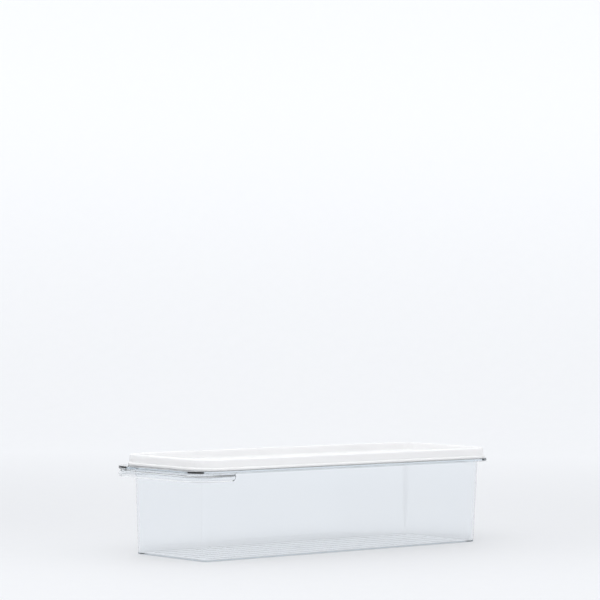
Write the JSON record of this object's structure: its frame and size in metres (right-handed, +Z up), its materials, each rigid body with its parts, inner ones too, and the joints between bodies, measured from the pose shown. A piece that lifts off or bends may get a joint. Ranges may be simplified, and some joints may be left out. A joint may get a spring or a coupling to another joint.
{
  "type": "fridge bin",
  "caption": "Long narrow clear fridge storage bin with a rolled pull lip at the front, a ribbed floor and a white recessed lid that lifts off.",
  "frame": {"origin": "middle of the tub's base, on the surface that the bin stands on", "axes": "+Z up; +X along the bin towards its plain back end, so the pull lip is at -X; +Y across the bin"},
  "size_m": [0.4113, 0.1386, 0.1],
  "materials": {
    "clear_plastic": "clear, polished, very slightly blue",
    "white_plastic": "opaque white, soft satin sheen"
  },
  "bodies": {
    "bin": {"tub": "clear_plastic"},
    "lid": {"lid": "white_plastic"}
  },
  "joints": [
    {"name": "lid_lift", "type": "slide", "parent": "bin", "child": "lid", "axis": [0, 0, 1], "range_m": [0, 0.12]}
  ]
}
